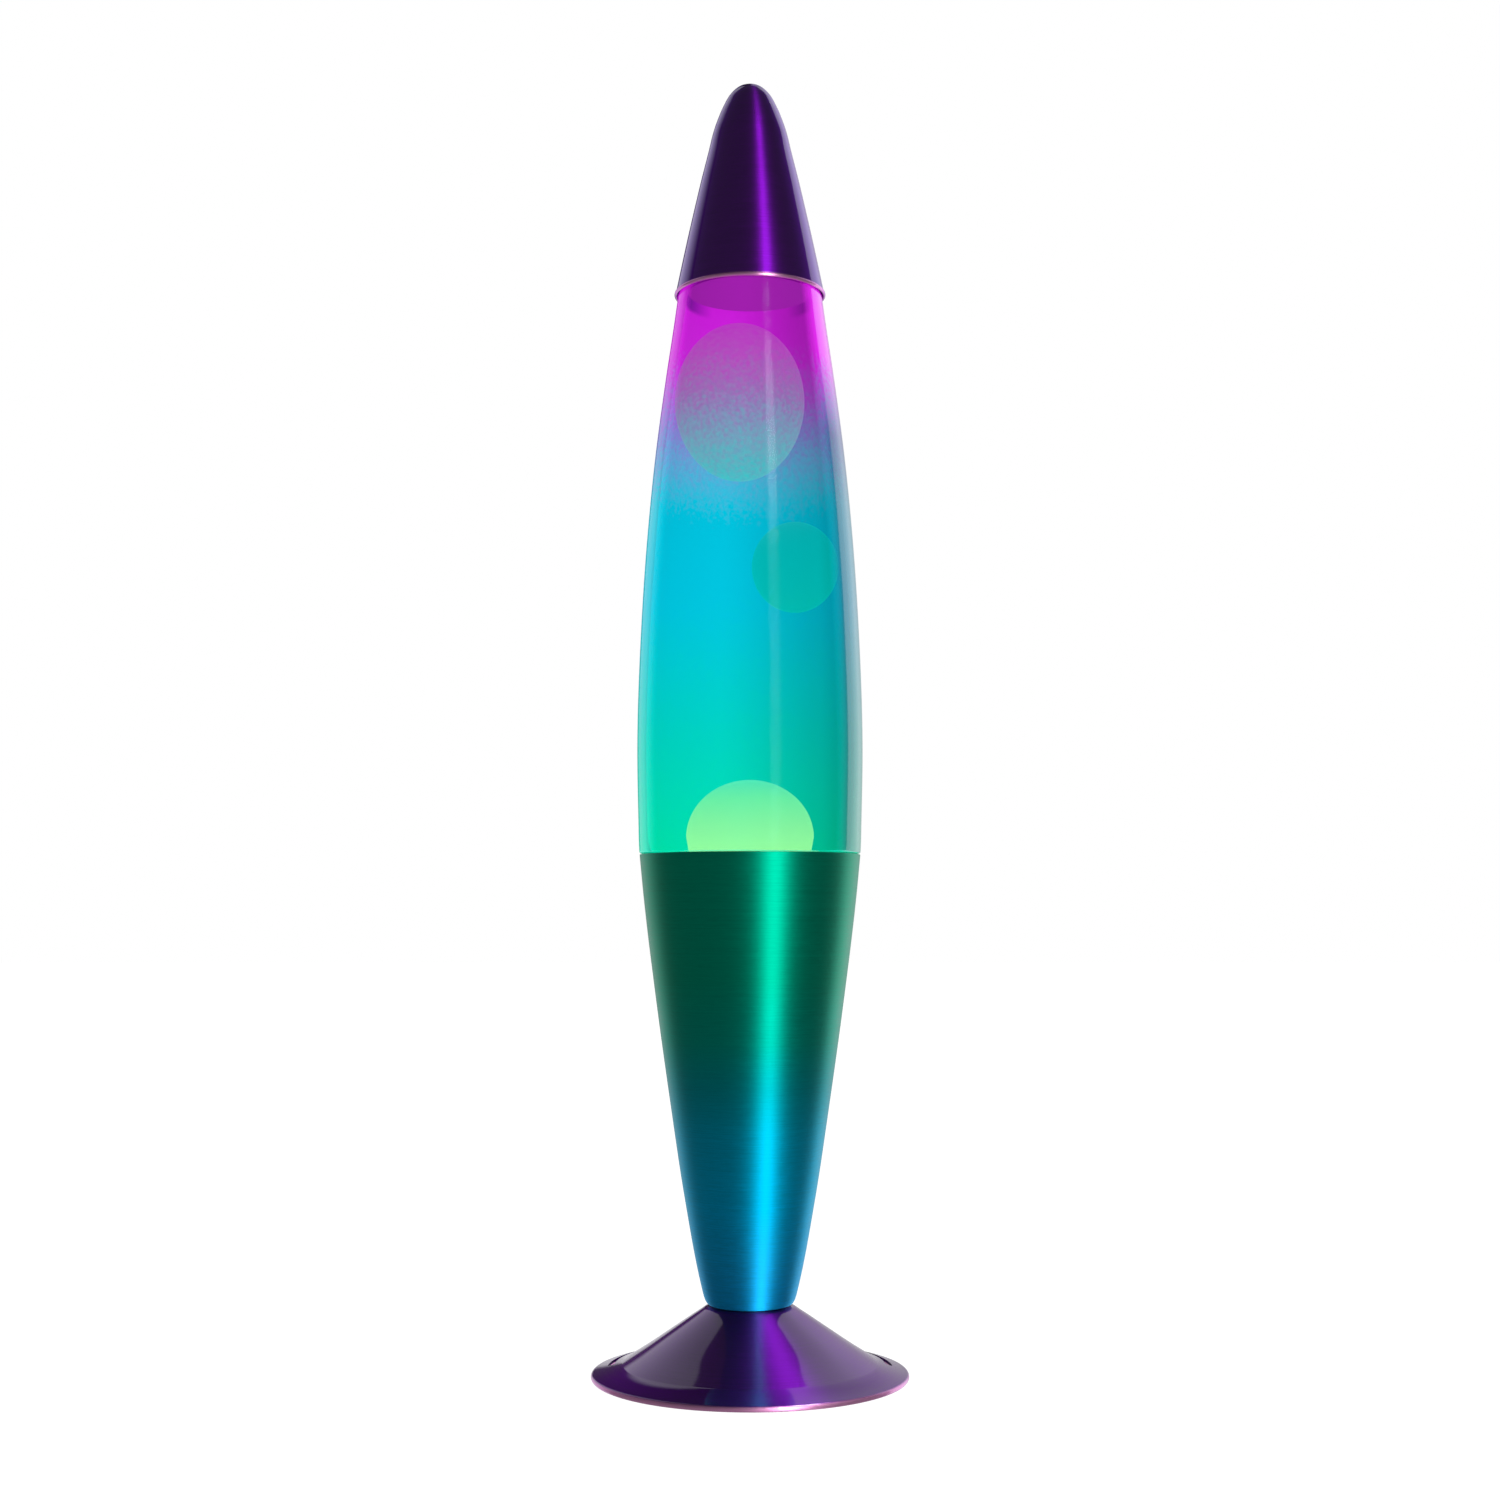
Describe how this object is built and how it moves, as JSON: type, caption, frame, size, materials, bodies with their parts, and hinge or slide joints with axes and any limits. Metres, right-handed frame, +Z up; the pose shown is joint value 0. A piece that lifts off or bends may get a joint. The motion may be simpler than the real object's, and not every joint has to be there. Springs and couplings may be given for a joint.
{
  "type": "lava lamp",
  "caption": "Slim liquid-motion lamp: tapered spun base on a flared foot, lift-out glass bottle of liquid and rising wax, and a loose pointed cap.",
  "frame": {"origin": "centre of the foot, on the surface that it stands on", "axes": "+Z up along the lamp's axis, -Y towards the front, with the cord inlet at the back (+Y)"},
  "size_m": [0.088, 0.088, 0.368],
  "materials": {
    "violet_lacquered_aluminium": "gloss",
    "teal_lacquered_aluminium": "gloss",
    "black_moulding": "matte",
    "zinc_plated_steel": "satin",
    "brass": "satin",
    "phenolic_moulding": "satin",
    "black_insulation": "satin",
    "white_insulation": "satin",
    "splice_nylon": "satin",
    "bulb_glass": "gloss",
    "glowing_tungsten": "matte",
    "nickel_plate": "satin",
    "black_base_glass": "gloss",
    "solder": "satin",
    "tri_colour_glass": "gloss",
    "seal_liner": "matte",
    "coil_wire": "satin",
    "liquid": "gloss",
    "wax": "satin"
  },
  "bodies": {
    "base": {"base_foot": "violet_lacquered_aluminium", "base_cup": "teal_lacquered_aluminium", "bottom_cover": "black_moulding", "cord_bushing": "black_moulding", "waist_nipple": "zinc_plated_steel", "waist_washer_upper": "zinc_plated_steel", "waist_washer_lower": "zinc_plated_steel", "waist_nut_upper": "brass", "waist_nut_lower": "brass", "lampholder_body": "phenolic_moulding", "lampholder_screw_shell": "brass", "terminal_live": "brass", "terminal_neutral": "brass", "lead_live": "black_insulation", "lead_neutral": "white_insulation", "splice_cap_live": "splice_nylon", "splice_cap_neutral": "splice_nylon"},
    "bulb_contact": {"centre_contact": "brass"},
    "bulb": {"bulb_envelope": "bulb_glass", "bulb_stem": "bulb_glass", "bulb_filament": "glowing_tungsten", "bulb_lead_wire_left": "nickel_plate", "bulb_lead_wire_right": "nickel_plate", "bulb_screw_base": "nickel_plate", "bulb_base_insulator": "black_base_glass", "bulb_tip_contact": "solder"},
    "globe": {"globe_bottle": "tri_colour_glass", "crown_liner": "seal_liner", "crown_cap": "zinc_plated_steel", "wax_pool": "wax", "heat_coil": "coil_wire", "lava_liquid": "liquid"},
    "wax_large": {"wax_blob_large": "wax"},
    "wax_small": {"wax_blob_small": "wax"},
    "cap": {"top_cap": "violet_lacquered_aluminium"}
  },
  "joints": [
    {"name": "globe_lift", "type": "slide", "parent": "base", "child": "globe", "axis": [0, 0, 1], "range_m": [0, 0.06]},
    {"name": "cap_lift", "type": "slide", "parent": "globe", "child": "cap", "axis": [0, 0, 1], "range_m": [0, 0.045]},
    {"name": "bulb_rise", "type": "slide", "parent": "base", "child": "bulb_contact", "axis": [0, 0, 1], "range_m": [0, 0.0028]},
    {"name": "bulb_turn", "type": "hinge", "parent": "bulb_contact", "child": "bulb", "pos_m": [0, 0, 0.05], "axis": [0, 0, 1], "range_deg": [0, 360]},
    {"name": "wax_large_drift", "type": "slide", "parent": "globe", "child": "wax_large", "axis": [0, 0, 1], "range_m": [-0.005, 0.003], "deforming": ["lava_liquid"]},
    {"name": "wax_small_drift", "type": "slide", "parent": "globe", "child": "wax_small", "axis": [0, 0, 1], "range_m": [-0.04, 0.005], "deforming": ["lava_liquid"]}
  ],
  "couplings": [
    {"joint": "bulb_turn", "follows": "bulb_rise", "rad_per_m": 2227.2}
  ]
}
